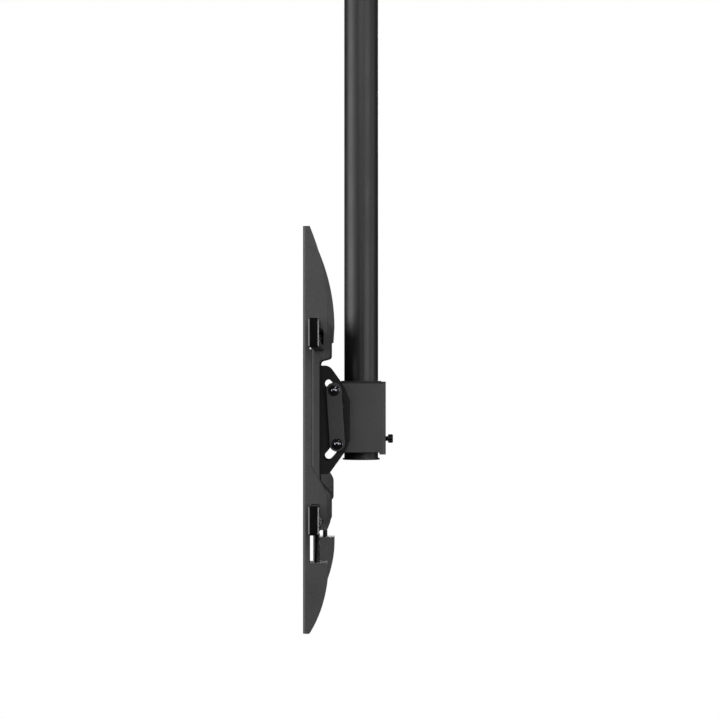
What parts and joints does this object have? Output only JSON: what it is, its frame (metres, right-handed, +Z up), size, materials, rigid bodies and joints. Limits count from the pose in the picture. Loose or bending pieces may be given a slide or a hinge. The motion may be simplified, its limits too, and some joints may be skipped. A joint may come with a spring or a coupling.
{
  "type": "television ceiling mount",
  "caption": "Ceiling mount for a flat television: a pole from a ceiling plate carries a swivelling box and a tilting frame of two rails with hooked uprights.",
  "frame": {"origin": "middle of the ceiling plate's top face, where it meets the ceiling", "axes": "+Z up along the pole, -Y towards the television and its viewers, +X along the rails to the viewer's right when facing the mount from behind the pole"},
  "size_m": [0.5, 0.1086, 0.745],
  "materials": {
    "plate_coat": "black powder coat, fine texture",
    "pole_coat": "black powder coat, satin",
    "box_coat": "black powder coat, fine texture",
    "bar_coat": "black powder coat, fine texture",
    "bracket_coat": "black powder coat, fine texture",
    "frame_coat": "black powder coat, fine texture",
    "rail_coat": "black powder coat, satin",
    "arm_coat": "black powder coat, fine texture",
    "black_screws": "black oxide",
    "zinc_steel": "zinc plated",
    "cap_plastic": "black moulded plastic, fine grain",
    "nylon": "black nylon"
  },
  "bodies": {
    "ceiling": {"ceiling_plate": "plate_coat", "pole": "pole_coat", "pole_bolt": "black_screws", "pole_nut": "black_screws", "carrier_ring": "zinc_steel", "ring_pin": "zinc_steel", "end_cap": "cap_plastic"},
    "head": {"swivel_box": "box_coat", "box_lid": "box_coat", "box_floor": "box_coat", "upper_bushing": "nylon", "lower_bushing": "nylon", "lock_nut": "zinc_steel", "link_bar_right": "bar_coat", "link_bar_left": "bar_coat", "tilt_bolts": "black_screws", "tilt_nuts": "zinc_steel", "friction_washers": "nylon"},
    "lock": {"lock_screw": "black_screws"},
    "tilter": {"tilt_bracket": "bracket_coat", "centre_frame": "frame_coat", "frame_screws": "black_screws", "frame_nuts": "zinc_steel", "upper_rail": "rail_coat", "lower_rail": "rail_coat", "rail_end_caps": "cap_plastic", "rail_screws": "black_screws", "rail_nuts": "zinc_steel"},
    "right_upright": {"arm_right": "arm_coat"},
    "left_upright": {"arm_left": "arm_coat"},
    "right_safety": {"safety_screw_right": "black_screws"},
    "left_safety": {"safety_screw_left": "black_screws"}
  },
  "joints": [
    {"name": "swivel", "type": "hinge", "parent": "ceiling", "child": "head", "pos_m": [0, 0, -0.49], "axis": [0, 0, 1], "continuous": true},
    {"name": "lock_travel", "type": "slide", "parent": "head", "child": "lock", "axis": [0, 1, 0], "range_m": [0, 0.004]},
    {"name": "tilt", "type": "hinge", "parent": "head", "child": "tilter", "pos_m": [0, -0.0771, -0.529], "axis": [1, 0, 0], "range_deg": [-10, 15]},
    {"name": "right_upright_slide", "type": "slide", "parent": "tilter", "child": "right_upright", "axis": [1, 0, 0], "range_m": [-0.13, 0.028]},
    {"name": "left_upright_slide", "type": "slide", "parent": "tilter", "child": "left_upright", "axis": [-1, 0, 0], "range_m": [-0.13, 0.028]},
    {"name": "right_safety_travel", "type": "slide", "parent": "right_upright", "child": "right_safety", "axis": [0, 0, 1], "range_m": [-0.012, 0]},
    {"name": "left_safety_travel", "type": "slide", "parent": "left_upright", "child": "left_safety", "axis": [0, 0, 1], "range_m": [-0.012, 0]}
  ]
}
